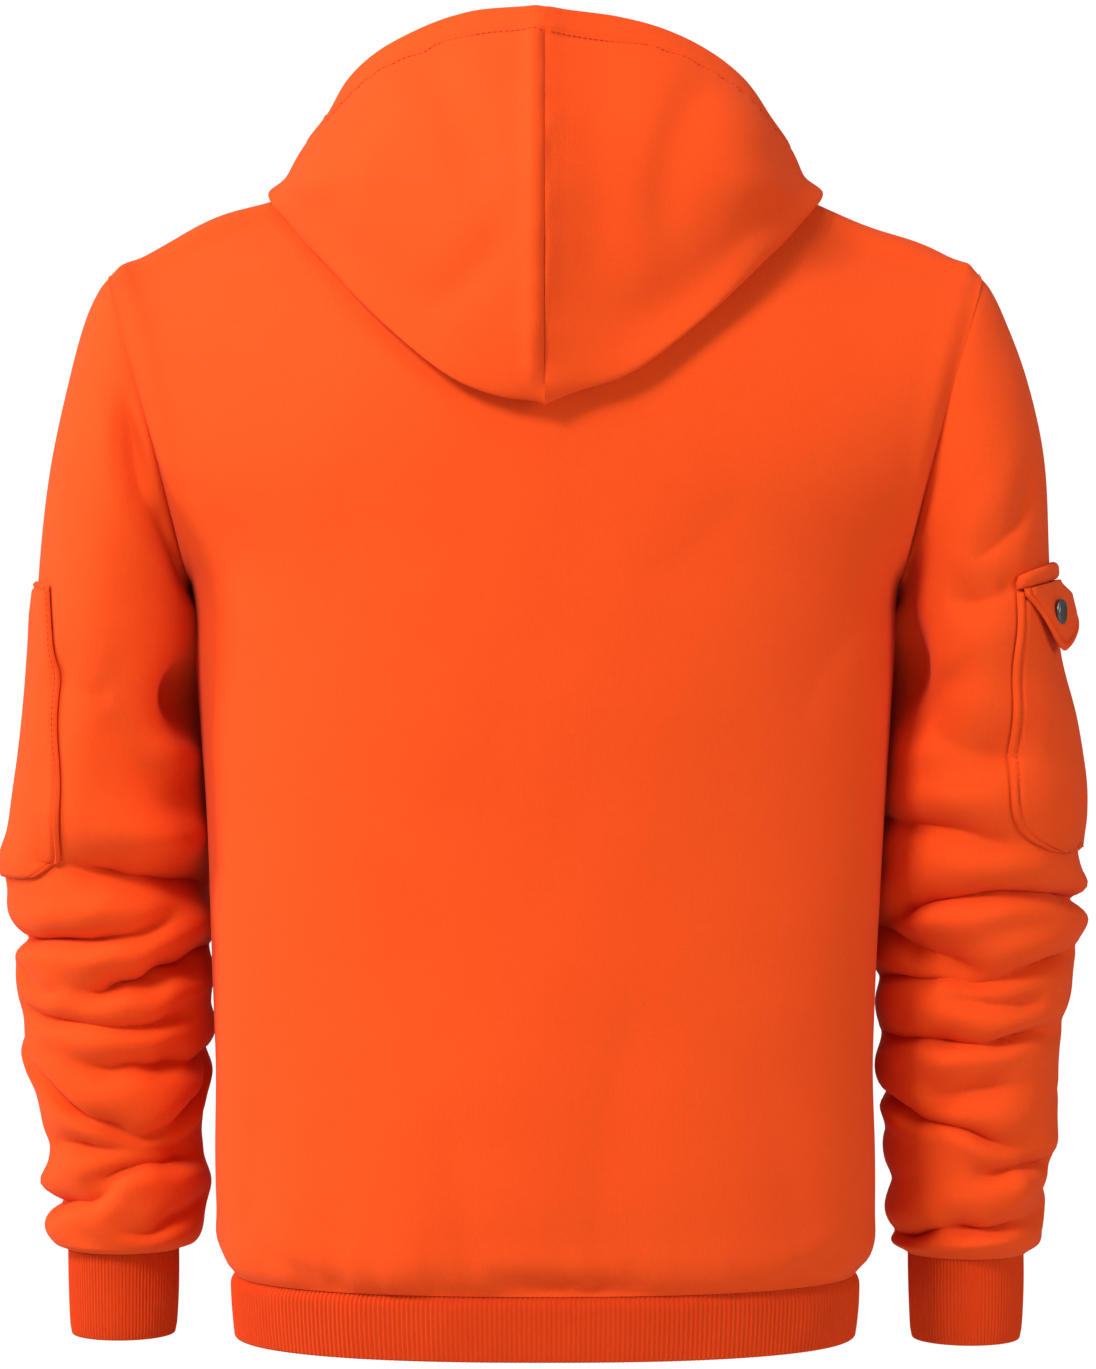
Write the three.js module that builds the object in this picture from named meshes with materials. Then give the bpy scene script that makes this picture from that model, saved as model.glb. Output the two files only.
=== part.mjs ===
// Hooded sweatshirt in its worn form with no figure inside.
// Millimetres, +Z up, front towards -Y, the wearer's left at +X.
// The origin is the middle of the neck opening, level with the tops of the shoulders.
import * as THREE from "three";

const WALL = 2.5; // brushed fleece
const RIB_WALL = 3; // ribbed knit, two layers
const POCKET_WALL = 2.2;
const BAND_WALL = 4.5; // rolled band over the right pocket
const SEAM = 0.25; // each piece stops this far short of a seam
const LIFT = 0.3; // clearance of a piece that lies on another

const RAD = Math.PI / 180;
const vec = (x, y, z) => new THREE.Vector3(x, y, z);
const mix = (a, b, t) => a + (b - a) * t;
const clamp = (t) => Math.min(1, Math.max(0, t));
const smooth = (t) => clamp(t) ** 2 * (3 - 2 * clamp(t));

// A smooth curve through stations [t, value, value, ...]; gives the values at t.
function through(stations) {
  const last = stations.length - 1;
  const slope = (i, k) => {
    const lo = stations[Math.max(i - 1, 0)];
    const hi = stations[Math.min(i + 1, last)];
    return (hi[k] - lo[k]) / (hi[0] - lo[0]);
  };
  return (t) => {
    let i = 0;
    while (i < last - 1 && t > stations[i + 1][0]) i++;
    const [a, b] = [stations[i], stations[i + 1]];
    const width = b[0] - a[0];
    const f = clamp((t - a[0]) / width);
    const rise = f * f * (3 - 2 * f);
    const leave = f * (1 - f) ** 2 * width;
    const arrive = f * f * (f - 1) * width;
    return a
      .slice(1)
      .map((v, k) => mix(v, b[k + 1], rise) + leave * slope(i, k + 1) + arrive * slope(i + 1, k + 1));
  };
}

// ---- Cloth sheets -------------------------------------------------------------------------

// Surface directions of a grid of points; `out` is roughly the way out at the middle point.
function directions(points, ring, out) {
  const rows = points.length;
  const cols = points[0].length;
  const grid = points.map((row, i) =>
    row.map((_, j) => {
      const up = points[Math.min(i + 1, rows - 1)][j].clone().sub(points[Math.max(i - 1, 0)][j]);
      const next = ring ? (j + 1) % cols : Math.min(j + 1, cols - 1);
      const back = ring ? (j + cols - 1) % cols : Math.max(j - 1, 0);
      return points[i][next].clone().sub(points[i][back]).cross(up).normalize();
    }),
  );
  const middle = grid[Math.floor(rows / 2)][Math.floor(cols / 2)];
  if (middle.dot(out) < 0) grid.forEach((row) => row.forEach((n) => n.negate()));
  return grid;
}

// A closed sheet: the outer points and the same points one wall deeper, joined round the edges.
function sheet(name, points, normals, wall, material, ring = false) {
  const rows = points.length;
  const cols = points[0].length;
  const position = [];
  for (const depth of [0, wall]) {
    points.forEach((row, i) =>
      row.forEach((p, j) => position.push(...p.clone().addScaledVector(normals[i][j], -depth))),
    );
  }
  const at = (layer, i, j) => (layer * rows + i) * cols + (j % cols);
  const index = [];
  const quad = (a, b, c, d) => index.push(a, b, c, a, c, d);
  for (let j = 0; j < (ring ? cols : cols - 1); j++) {
    for (let i = 0; i < rows - 1; i++) {
      quad(at(0, i, j), at(0, i, j + 1), at(0, i + 1, j + 1), at(0, i + 1, j));
      quad(at(1, i, j), at(1, i + 1, j), at(1, i + 1, j + 1), at(1, i, j + 1));
    }
    const end = rows - 1;
    quad(at(0, 0, j + 1), at(0, 0, j), at(1, 0, j), at(1, 0, j + 1));
    quad(at(0, end, j), at(0, end, j + 1), at(1, end, j + 1), at(1, end, j));
  }
  for (let i = 0; i < rows - 1 && !ring; i++) {
    const end = cols - 1;
    quad(at(0, i, 0), at(0, i + 1, 0), at(1, i + 1, 0), at(1, i, 0));
    quad(at(0, i + 1, end), at(0, i, end), at(1, i, end), at(1, i + 1, end));
  }
  const across = points[0][1].clone().sub(points[0][0]);
  const along = points[1][0].clone().sub(points[0][0]);
  if (across.cross(along).dot(normals[0][0]) < 0) index.reverse();
  const geometry = new THREE.BufferGeometry();
  geometry.setAttribute("position", new THREE.Float32BufferAttribute(position, 3));
  geometry.setIndex(index);
  geometry.computeVertexNormals();
  const mesh = new THREE.Mesh(geometry, material);
  mesh.name = name;
  return mesh;
}

const fleece = new THREE.MeshStandardMaterial({ color: 0xf55a28, roughness: 0.95 });
const rib = new THREE.MeshStandardMaterial({ color: 0xd84a16, roughness: 0.95 });
const metal = new THREE.MeshStandardMaterial({ color: 0x4a4d50, roughness: 0.4, metalness: 0.9 });

// ---- Body ---------------------------------------------------------------------------------

const HEM_TOP = -662;
const HEM_BOTTOM = -700;
const ARMPIT = -250;
const NECK_SHARE = 105 / 261; // how far along the shoulder line the neck starts
const NECK_DROP = [18, 90]; // of the neck edge, behind and in front
const ARM = { x: 237, lean: 24, bow: 4, z: -158, tall: 92, deep: 71 };

// Half width, depth behind and depth in front, by height.
const bodySize = through([
  [-662, 189, 121, 121],
  [-652, 193, 125, 126],
  [-636, 197, 129, 130],
  [-600, 198, 129, 131],
  [-540, 197, 126, 129],
  [-470, 199.5, 123, 127],
  [-400, 203, 123, 128],
  [-330, 208, 127, 132],
  [-250, 213, 130, 135],
  [-170, 214, 131, 136],
]);

const sideDepth = (size, face) => (face > 0 ? size[1] : size[2]);

// The armhole edge by climb: 0 at the armpit, 1 at the top.
function armholeEdge(climb) {
  const cos = 1 - 2 * clamp(climb);
  const sin = Math.sqrt(1 - cos * cos);
  return [ARM.x - ARM.lean * cos - ARM.bow * sin * sin, ARM.deep * sin, ARM.z - ARM.tall * cos];
}

// Height of the crest over which the cloth turns from back to front.
function crest(face, x) {
  const r = Math.abs(x);
  const top = r < 105 ? 21 - (0.2 * r * r) / 105 : -0.4 * (r - 105) - 3.6 * ((r - 105) / 156) ** 6;
  return face > 0 ? top : top - 51 * (1 - smooth(r / 130));
}

// How far the body stands out from the plane of its side seams: face +1 back, -1 front.
function bodyDepth(face, x, z) {
  const size = bodySize(z);
  const climb = (z - ARMPIT) / (2 * ARM.tall);
  const [edgeX, edgeY] = climb > 0 ? armholeEdge(climb) : [size[0], 0];
  const r = Math.min(Math.abs(x) / edgeX, 1);
  const under = 1 - clamp((crest(face, x) - z) / 190);
  const middle = sideDepth(size, face) * (1 - under * under) ** 0.714;
  const q = mix(2.4, 1.25, smooth(climb / 0.5));
  const nearEdge = mix(smooth(climb / 0.35), 1, r ** 14);
  return mix(edgeY * nearEdge, middle, (1 - r ** 2.4) ** (1 / q));
}

// Body surface: s across from -1 to 1, t up: 0 hem, 1 armpit, 2 shoulder and neck edges.
function bodyPoint(face, s, t) {
  const r = Math.abs(s);
  let z = mix(HEM_TOP + SEAM, ARMPIT, Math.min(t, 1));
  let edge = bodySize(z)[0];
  if (t > 1) {
    const [edgeX, , edgeZ] = armholeEdge((1 - Math.cos(Math.PI * (t - 1))) / 2);
    const open = clamp(1 - (r / NECK_SHARE) ** 2);
    const neckZ = -NECK_DROP[face > 0 ? 0 : 1] * open ** 0.8;
    const topZ = r < NECK_SHARE ? neckZ : crest(1, r * 261);
    edge = edgeX;
    z = edgeZ + (topZ - (ARM.z + ARM.tall)) * (t - 1) ** 1.5;
  }
  return vec(s * edge, face * (bodyDepth(face, s * edge, z) + SEAM), z);
}

// The armhole's own outward direction, shared by the body edge and the sleeve.
function armholeOut(side, angle) {
  const n = vec(side * ARM.lean, 0, ARM.tall).normalize();
  n.multiplyScalar(Math.cos(angle) / 95).add(vec(0, Math.sin(angle) / ARM.deep, 0));
  return n.normalize();
}

const STEP_ROUND = 15; // degrees between sections round the neck
const COLUMNS = [
  ...[1, 2, 3, 4, 5, 6].map((k) => NECK_SHARE * Math.sin(k * STEP_ROUND * RAD)),
  0.53, 0.65, 0.77, 0.88, 0.96, 1,
];
const ACROSS = [...COLUMNS.map((s) => -s).reverse(), 0, ...COLUMNS];
const HEIGHTS = [-661.75, -650, -625, -560, -460, -350];
const RISES = [0, 0.14, 0.3, 0.46, 0.62, 0.77, 0.88, 0.96, 1];
const UPWARD = [
  ...HEIGHTS.map((z) => (z - HEM_TOP - SEAM) / (ARMPIT - HEM_TOP - SEAM)).map(clamp),
  ...RISES.map((u) => 1 + u),
];

function bodyPanel(name, face) {
  const points = UPWARD.map((t) => ACROSS.map((s) => bodyPoint(face, s, t)));
  const normals = directions(points, false, vec(0, face, 0));
  const last = ACROSS.length - 1;
  UPWARD.forEach((t, i) => {
    for (const j of [0, last]) {
      const side = Math.sign(ACROSS[j]);
      const n = normals[i][j];
      if (t <= 1) {
        n.set(side, 0, 0);
        continue;
      }
      const angle = Math.PI * (2 - t) * face;
      n.lerp(armholeOut(side, angle), smooth((t - 1) / 0.5)).normalize();
    }
  });
  ACROSS.forEach((s, j) => {
    if (Math.abs(s) < NECK_SHARE - 0.01) return;
    normals[UPWARD.length - 1][j].set(Math.sign(s) * 0.37, 0, 0.93).normalize();
  });
  return sheet(name, points, normals, WALL, fleece);
}

// ---- Sleeves ------------------------------------------------------------------------------

// Down each sleeve: outer edge x z, inner edge x z, half depth, middle y.
const LEFT_ARM = through([
  [0, 261.5, -66, 213.5, -250, 71, 0],
  [0.05, 273, -88, 215.5, -253, 74, 0],
  [0.12, 284, -126, 215.5, -257, 76, 0],
  [0.2, 293, -178, 214.5, -262, 77, -1],
  [0.29, 300, -238, 213, -270, 77, -4],
  [0.38, 305, -292, 210.5, -306, 76, -9],
  [0.48, 312, -352, 206.5, -360, 73, -17],
  [0.58, 320, -412, 203, -414, 70, -26],
  [0.68, 321, -468, 201.5, -468, 66, -33],
  [0.79, 316, -530, 202, -530, 61, -39],
  [0.89, 304, -588, 206, -588, 55, -43],
  [0.96, 304, -632, 207, -632, 50, -45],
  [0.985, 300, -649, 212, -649, 44, -45],
  [1, 292, -654.6, 222, -654.6, 37, -45],
]);
const RIGHT_ARM = through([
  [0, 261.5, -66, 213.5, -250, 71, 0],
  [0.05, 273, -88, 215.5, -253, 74, 0],
  [0.12, 285, -126, 215.5, -257, 76, 0],
  [0.2, 296, -178, 214.5, -262, 77, -1],
  [0.29, 302, -238, 213, -270, 77, -4],
  [0.38, 311, -292, 210.5, -306, 76, -9],
  [0.48, 322, -352, 206.5, -360, 73, -17],
  [0.58, 323, -412, 203, -414, 70, -26],
  [0.68, 322, -468, 201.5, -468, 66, -33],
  [0.79, 313, -530, 202, -530, 61, -39],
  [0.89, 312, -588, 206, -588, 55, -43],
  [0.96, 304, -632, 209, -632, 50, -45],
  [0.985, 300, -650, 213, -650, 44, -45],
  [1, 293, -657.6, 221, -657.6, 38, -45],
]);

// Folds: from angle and height to angle and height, sag between, depth and half width.
// Angles go round the sleeve: 0 outer side, 90 behind, 180 inner side, 270 in front.
const LEFT_FOLDS = [
  [62, -424, 200, -428, 0, 6, 10],
  [8, -455, 128, -447, 0, 7, 7],
  [80, -482, 200, -462, 0, 10, 8],
  [30, -507, 140, -508, -3, 6, 7],
  [72, -539, 196, -532, 0, 6, 8],
  [28, -540, 168, -548, -26, 7, 7],
  [30, -590, 140, -583, 0, 5, 7],
  [-20, -617, 158, -604, -8, 7, 6],
  [190, -440, 320, -432, 6, 8, 9],
  [200, -472, 345, -466, 0, 8, 8],
  [185, -500, 330, -502, 6, 8, 8],
  [205, -532, 350, -526, 0, 7, 8],
  [190, -562, 330, -560, 6, 7, 8],
  [200, -594, 345, -590, 0, 6, 7],
  [150, -266, 232, -214, 0, 4, 9],
  [150, -266, 76, -196, 0, 6, 9],
];
const RIGHT_FOLDS = [
  [76, -410, 145, -401, 4, 5, 8],
  [2, -437, 200, -441, 8, 8, 7],
  [92, -471, 200, -446, 0, 6, 8],
  [6, -470, 196, -480, -5, 7, 7],
  [52, -496, 116, -495, 0, 5, 7],
  [36, -519, 200, -523, 0, 6, 7],
  [66, -549, 126, -554, 0, 4, 8],
  [60, -583, 190, -557, 0, 7, 8],
  [14, -598, 84, -601, 0, 6, 7],
  [22, -627, 190, -642, 0, 7, 6],
  [180, -456, 320, -448, 6, 8, 9],
  [200, -490, 345, -486, 0, 8, 8],
  [185, -520, 330, -518, 6, 8, 8],
  [205, -550, 350, -546, 0, 7, 8],
  [190, -580, 330, -576, 6, 7, 8],
  [200, -612, 345, -606, 0, 6, 7],
  [140, -262, 62, -190, 0, 5, 9],
  [150, -266, 232, -214, 0, 4, 9],
];

function foldDepth(folds, degrees, z) {
  let depth = 0;
  for (const [from, fromZ, to, toZ, sag, deep, half] of folds) {
    for (const turn of [-360, 0, 360]) {
      const f = (degrees + turn - from) / (to - from);
      if (f < -0.2 || f > 1.2) continue;
      const taper = smooth((f + 0.2) / 0.35) * smooth((1.2 - f) / 0.35);
      const line = mix(fromZ, toZ, f) + 4 * sag * f * (1 - f);
      depth += deep * taper * Math.exp(-(((z - line) / half) ** 2));
    }
  }
  return depth;
}

function sleevePoint(arm, t, angle) {
  const [outerX, outerZ, innerX, innerZ, deep, midY] = arm.path(t);
  const cos = Math.cos(angle);
  const sin = Math.sin(angle);
  const bow = ARM.bow * (1 - smooth(t / 0.15)) * sin * sin;
  const p = vec(
    mix(innerX, outerX, (1 + cos) / 2) - bow,
    midY + deep * sin,
    mix(innerZ, outerZ, (1 + cos) / 2),
  );
  const high = Math.hypot(outerX - innerX, outerZ - innerZ) / 2;
  const way = vec(outerX - innerX, 0, outerZ - innerZ).normalize();
  way.multiplyScalar(cos / high).add(vec(0, sin / deep, 0)).normalize();
  const nearEnds = smooth(t / 0.06) * smooth((1 - t) / 0.02);
  const depth = foldDepth(arm.folds, angle / RAD, p.z) * nearEnds;
  p.addScaledVector(way, -Math.min(depth, 14));
  return vec(p.x * arm.side, p.y, p.z);
}

const RING = 18;
const BAND_RINGS = [0.29, 0.307];
const POCKET_RINGS = [0.309, 0.35, 0.4, 0.46, 0.52, 0.57, 0.595]; // top to bottom
const DOWN = [
  0, 0.03, 0.07, 0.12, 0.17, 0.23,
  ...BAND_RINGS,
  ...POCKET_RINGS,
  0.625, 0.655, 0.685, 0.715, 0.745, 0.775, 0.805, 0.84, 0.87, 0.905, 0.94, 0.975, 1,
];

function makeArm(side, path, folds) {
  const arm = { side, path, folds };
  arm.points = DOWN.map((t) =>
    Array.from({ length: RING }, (_, k) => sleevePoint(arm, t, (k * 360 * RAD) / RING)),
  );
  arm.normals = directions(arm.points, true, vec(-side, 0, 0));
  arm.normals[0].forEach((n, k) => {
    const angle = (k * 360 * RAD) / RING;
    n.lerp(armholeOut(side, angle), smooth(1 + Math.cos(angle))).normalize();
  });
  return arm;
}

// A vector of one ring of the sleeve at any angle, straight between the ring's own points.
function onRing(ring, degrees) {
  const k = ((degrees * RING) / 360 + RING) % RING;
  const low = Math.floor(k);
  return ring[low].clone().lerp(ring[(low + 1) % RING], k - low);
}

// A patch of the sleeve's own points, moved out by LIFT: whole steps round from `first` degrees to
// `last`, then the back edge, which follows edge(t).
function patch(name, arm, rings, first, last, edge, wall, material) {
  const step = 360 / RING;
  const whole = Array.from({ length: (last - first) / step + 1 }, (_, k) => first + k * step);
  const pick = (grid) =>
    rings.map((t) => [...whole, ...edge(t)].map((a) => onRing(grid[DOWN.indexOf(t)], a)));
  const normals = pick(arm.normals).map((row) => row.map((n) => n.normalize()));
  const points = pick(arm.points).map((row, i) =>
    row.map((p, j) => p.addScaledVector(normals[i][j], LIFT + wall)),
  );
  return sheet(name, points, normals, wall, material);
}

function cuff(name, side, outerX, innerX, top, bottom, deep) {
  const middle = (outerX + innerX) / 2;
  const half = (outerX - innerX) / 2;
  const levels = [0, 0.5, 1];
  const points = levels.map((f) =>
    Array.from({ length: RING }, (_, k) => {
      const angle = (k * 360 * RAD) / RING;
      const size = 1 - 0.05 * f * f;
      return vec(
        side * (middle + half * size * Math.cos(angle)),
        -45 + deep * size * Math.sin(angle),
        mix(top, bottom, f),
      );
    }),
  );
  return sheet(name, points, directions(points, true, vec(-side, 0, 0)), RIB_WALL, rib, true);
}

function hemRib() {
  const count = 40;
  const points = [0, 0.5, 1].map((f) =>
    Array.from({ length: count }, (_, k) => {
      const angle = (k * 360 * RAD) / count;
      const [cos, sin] = [Math.cos(angle), Math.sin(angle)];
      const round = (v) => Math.sign(v) * Math.abs(v) ** (2 / 2.4);
      const half = mix(188, 185.5, f * f);
      return vec(half * round(cos), (half - 68) * round(sin), mix(HEM_TOP - SEAM, HEM_BOTTOM, f));
    }),
  );
  const normals = directions(points, true, vec(-1, 0, 0));
  return sheet("hem_rib", points, normals, RIB_WALL, rib, true);
}

// Flap over the right pocket: it hangs from the band to a point and stands off the pocket.
const FLAP = { angles: [-40, -20, 0, 20, 40, 60], drops: [6, 14, 25, 39, 21, 6], snapRow: 0.42 };

function columnPoint(arm, angle, z) {
  const k = (angle / 20 + RING) % RING;
  let i = DOWN.indexOf(BAND_RINGS[1]);
  while (arm.points[i + 1][k].z > z) i++;
  const [a, b] = [arm.points[i][k], arm.points[i + 1][k]];
  const f = (a.z - z) / (a.z - b.z);
  const n = arm.normals[i][k].clone().lerp(arm.normals[i + 1][k], f).normalize();
  return [a.clone().lerp(b, f), n];
}

function pocketFlap(arm) {
  const rest = LIFT + POCKET_WALL + LIFT + POCKET_WALL;
  const points = [0, FLAP.snapRow, 1].map((f) =>
    FLAP.angles.map((angle, j) => {
      const top = arm.points[DOWN.indexOf(POCKET_RINGS[0])][(angle / 20 + RING) % RING].z;
      const [p, n] = columnPoint(arm, angle, top - f * FLAP.drops[j]);
      return p.addScaledVector(n, rest + 0.5 + 4.5 * f * (FLAP.drops[j] / 39));
    }),
  );
  const normals = directions(points, false, vec(arm.side, 0, 0));
  const flap = sheet("pocket_flap_right", points, normals, POCKET_WALL, fleece);
  return [flap, snapCap(points[1][3], normals[1][3])];
}

function snapCap(place, out) {
  const outline = [[0, 0], [7, 0], [8, 0.8], [8, 1.8], [7, 2.7], [3.5, 3.2], [0, 3.2]];
  const geometry = new THREE.LatheGeometry(outline.map(([r, h]) => new THREE.Vector2(r, h)), 12);
  const cap = new THREE.Mesh(geometry, metal);
  cap.name = "snap_cap";
  cap.quaternion.setFromUnitVectors(vec(0, 1, 0), out);
  cap.position.copy(place).addScaledVector(out, 0.6);
  return cap;
}

// ---- Hood ---------------------------------------------------------------------------------

// Stations go by angle round the neck: 0 at the throat, 90 at the shoulder, 180 behind.
const foldLine = through([
  [0, 4, -97],
  [30, 50, -88],
  [60, 112, -56],
  [90, 158, -22],
  [110, 150, -40],
  [130, 124, -70],
  [150, 85, -106],
  [165, 46, -134],
  [180, 0, -147],
]);
const rimLine = through([
  [0, 4, -90, -78],
  [30, 58, -80, -48],
  [60, 112, -42, -8],
  [90, 134, 8, 20],
  [120, 121, 48, 41],
  [150, 72, 77, 67],
  [180, 0, 90, 81],
]);

// A point that stands off the body surface at x and z.
function offBody(face, x, z, off) {
  const step = 1;
  const depth = (dx, dz) => bodyDepth(face, x + dx, Math.min(z + dz, crest(face, x)));
  const n = vec(depth(-step, 0) - depth(step, 0), face * 2 * step, depth(0, -step) - depth(0, step));
  return vec(x, face * (depth(0, 0) + SEAM), z).addScaledVector(n.normalize(), off);
}

// One section of the hood from the neck seam, out over the body, round the fold, up to the rim.
function hoodSection(degrees) {
  const face = degrees < 90 ? -1 : 1;
  const turn = Math.min(degrees, 180 - degrees) / 90;
  const behind = smooth((degrees - 60) / 110);
  const neck = bodyPoint(face, NECK_SHARE * Math.sin(degrees * RAD), 2);
  const [foldX, foldZ] = foldLine(degrees);
  const along = (f, off) => offBody(face, mix(neck.x, foldX, f), mix(neck.z, foldZ, f), off);
  const out = vec(Math.sin(degrees * RAD), -Math.cos(degrees * RAD), 0);
  const rim = vec(...rimLine(degrees));
  const lift = mix(12, 18, behind);
  const start = along(0.86, lift);
  const bulge = 6 + 19 * smooth((degrees - 90) / 70) + 9 * smooth((80 - degrees) / 40);
  const puff = out.clone().add(vec(0, 0, 0.8 * (1 - behind))).normalize();
  const high = mix(3, 8, behind) + 7 * turn * (1 - behind);
  const controls = [
    neck.clone().add(vec(0, 0, 2.5)),
    neck.clone().add(vec(0, 0, high)).addScaledVector(out, 1),
    along(0.3, mix(11, 13, behind)),
    along(0.62, mix(8.5, 8.5, behind)),
    along(0.9, 6),
    along(1.03, mix(8.5, 10.5, behind)),
    start,
    start.clone().lerp(rim, 0.3).addScaledVector(puff, bulge * 0.8),
    start.clone().lerp(rim, 0.65).addScaledVector(puff, bulge),
    rim,
  ];
  return through(controls.map((p, i) => [i / (controls.length - 1), ...p]));
}

function hoodPanel(name, side) {
  const angles = Array.from({ length: 180 / STEP_ROUND + 1 }, (_, k) => k * STEP_ROUND);
  const steps = [0, 0.1, 0.22, 0.34, 0.44, 0.51, 0.56, 0.61, 0.68, 0.78, 0.89, 1];
  const sections = angles.map(hoodSection);
  const points = steps.map((f) =>
    sections.map((section) => {
      const [x, y, z] = section(f);
      return vec(side * Math.max(x, 0.3), y, z);
    }),
  );
  const normals = directions(points, false, vec(side, 0, 0));
  for (const row of normals) row[angles.length - 1].setX(0).normalize();
  for (const row of normals) row[0].setX(side * Math.abs(row[0].x) * 0.2).normalize();
  return sheet(name, points, normals, WALL, fleece);
}

// ---- The garment --------------------------------------------------------------------------

const garment = new THREE.Group();
garment.name = "hooded_sweatshirt";
garment.add(bodyPanel("back_panel", 1), bodyPanel("front_panel", -1));

const leftArm = makeArm(1, LEFT_ARM, LEFT_FOLDS);
const rightArm = makeArm(-1, RIGHT_ARM, RIGHT_FOLDS);
garment.add(sheet("sleeve_left", leftArm.points, leftArm.normals, WALL, fleece, true));
garment.add(sheet("sleeve_right", rightArm.points, rightArm.normals, WALL, fleece, true));
garment.add(hemRib());
garment.add(cuff("cuff_left", 1, 291, 223.5, -655.2, -707.5, 36));
garment.add(cuff("cuff_right", -1, 292, 221.5, -658.2, -710.5, 37));

garment.add(hoodPanel("hood_left", 1), hoodPanel("hood_right", -1));

// Back edges of the pockets, in degrees, by t down the sleeve.
const leftEdge = through([[0.309, 46], [0.42, 53], [0.52, 59], [0.595, 57]]);
const rightEdge = through([[0.309, 66], [0.42, 75], [0.52, 80], [0.595, 80]]);
const bandEdge = () => [65];
garment.add(patch("pocket_left", leftArm, POCKET_RINGS, -60, 40, leftEdge, POCKET_WALL, fleece));
garment.add(patch("pocket_right", rightArm, POCKET_RINGS, -40, 60, rightEdge, POCKET_WALL, fleece));
garment.add(patch("flap_band_right", rightArm, BAND_RINGS, -40, 60, bandEdge, BAND_WALL, fleece));
garment.add(...pocketFlap(rightArm));

export default garment;
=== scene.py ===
"""Hooded sweatshirt in its worn form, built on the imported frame.

Sizes are in millimetres until a mesh is made, with +Z up and the front towards -Y.
The origin is the middle of the neck opening, level with the tops of the shoulders.
"""
import math
import bpy
import numpy as np
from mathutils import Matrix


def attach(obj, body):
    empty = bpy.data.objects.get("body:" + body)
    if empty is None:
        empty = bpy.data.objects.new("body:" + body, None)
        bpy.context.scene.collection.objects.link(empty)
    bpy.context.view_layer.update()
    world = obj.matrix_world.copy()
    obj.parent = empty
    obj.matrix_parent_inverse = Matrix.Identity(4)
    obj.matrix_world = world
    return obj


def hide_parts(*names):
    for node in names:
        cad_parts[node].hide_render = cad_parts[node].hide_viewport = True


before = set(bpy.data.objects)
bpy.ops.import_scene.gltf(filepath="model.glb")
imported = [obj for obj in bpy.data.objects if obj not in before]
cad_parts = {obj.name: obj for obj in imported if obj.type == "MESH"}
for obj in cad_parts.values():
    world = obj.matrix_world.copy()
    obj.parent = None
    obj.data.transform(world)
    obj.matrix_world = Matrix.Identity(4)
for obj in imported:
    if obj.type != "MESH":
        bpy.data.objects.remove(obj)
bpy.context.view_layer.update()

MM = 0.001
WALL = 2.5  # brushed fleece
RIB_WALL = 3.0  # ribbed knit, two layers
POCKET_WALL = 2.2
BAND_WALL = 4.5  # rolled band over the right pocket
SEAM = 0.25  # each piece stops this far short of a seam
LIFT = 0.3  # clearance of a piece that lies on another


def mix(a, b, t):
    return a + (b - a) * t


def clamp(t):
    return np.clip(t, 0.0, 1.0)


def smooth(t):
    t = clamp(t)
    return t * t * (3 - 2 * t)


def swell(x, high, at, wide):
    """A soft bump of one height at one place, wide to each side."""
    return high * np.exp(-(((x - at) / wide) ** 2))


def unit(v):
    return v / np.maximum(np.linalg.norm(v, axis=-1, keepdims=True), 1e-9)


def stack(x, y, z):
    return np.stack(np.broadcast_arrays(x, y, z), axis=-1).astype(float)


def hermite(a, b, leave, arrive, f):
    """A smooth curve from a to b, which leaves and arrives at those slopes."""
    ends = mix(a, b, f * f * (3 - 2 * f))
    return ends + f * (1 - f) ** 2 * leave + f * f * (f - 1) * arrive


def through(stations):
    """A smooth curve through stations [t, value, value, ...]; gives the values at t."""
    table = np.array(stations, float)
    at, values = table[:, 0], table[:, 1:]
    lo = np.maximum(np.arange(len(at)) - 1, 0)
    hi = np.minimum(np.arange(len(at)) + 1, len(at) - 1)
    slopes = (values[hi] - values[lo]) / (at[hi] - at[lo])[:, None]

    def curve(t):
        t = np.asarray(t, float)
        i = np.clip(np.searchsorted(at, t) - 1, 0, len(at) - 2)
        width = (at[i + 1] - at[i])[..., None]
        f = clamp((t[..., None] - at[i][..., None]) / width)
        leave, arrive = slopes[i] * width, slopes[i + 1] * width
        return np.moveaxis(hermite(values[i], values[i + 1], leave, arrive, f), -1, 0)

    return curve


def ripple(u, v, seed, long_u, long_v, waves=14):
    """Soft waves about 1 high, with lengths near long_u and long_v."""
    rng = np.random.default_rng(seed)
    total = np.zeros(np.broadcast(u, v).shape)
    for _ in range(waves):
        fu, fv = rng.normal(0, 1, 2)
        phase = rng.uniform(0, 2 * math.pi)
        total += np.cos(2 * math.pi * (fu * u / long_u + fv * v / long_v) + phase)
    return total / math.sqrt(waves)


def beside_line(u, v, u0, v0, u1, v1, sag):
    """Share of the way along a sagging line, and the distance above it."""
    run, rise = u1 - u0, v1 - v0
    length = math.hypot(run, rise)
    along = ((u - u0) * run + (v - v0) * rise) / length**2
    off = ((v - v0) * run - (u - u0) * rise) / length
    return along, off - 4 * sag * along * (1 - along)


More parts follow.
